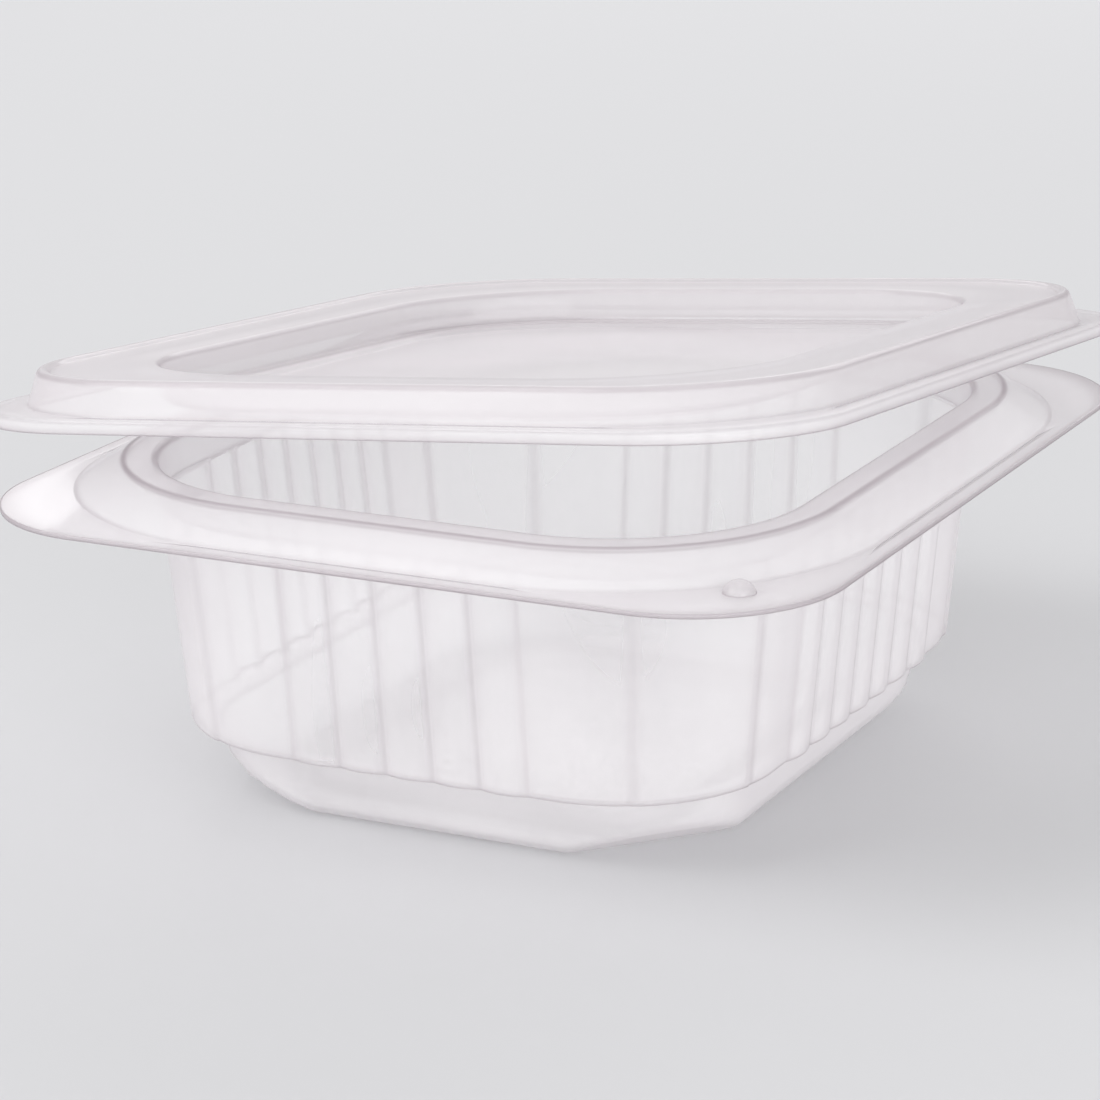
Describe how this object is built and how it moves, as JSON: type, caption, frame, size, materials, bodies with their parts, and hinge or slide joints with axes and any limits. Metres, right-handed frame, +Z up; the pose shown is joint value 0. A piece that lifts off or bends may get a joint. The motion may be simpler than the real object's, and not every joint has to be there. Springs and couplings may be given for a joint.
{
  "type": "deli container",
  "caption": "Clear rectangular food tub with reeded, tapering walls, a wide rim flange and a press-on lid that tips open about one corner.",
  "frame": {"origin": "centre of the tub's base, on the surface it stands on", "axes": "+Z up, short sides along X, long sides along Y; the lid tips up at the +X, -Y corner"},
  "size_m": [0.1193, 0.1347, 0.0686],
  "materials": {
    "tub_plastic": "clear, glossy, slightly milky thin sheet",
    "lid_plastic": "clear, glossy, slightly milky thin sheet"
  },
  "bodies": {
    "tub": {"tub": "tub_plastic"},
    "lid": {"lid": "lid_plastic"}
  },
  "joints": [
    {"name": "lid_tip", "type": "hinge", "parent": "tub", "child": "lid", "pos_m": [-0.05234, 0.06239, 0.0417], "axis": [-0.7593, -0.6508, 0], "range_deg": [-7.6, 60]}
  ]
}
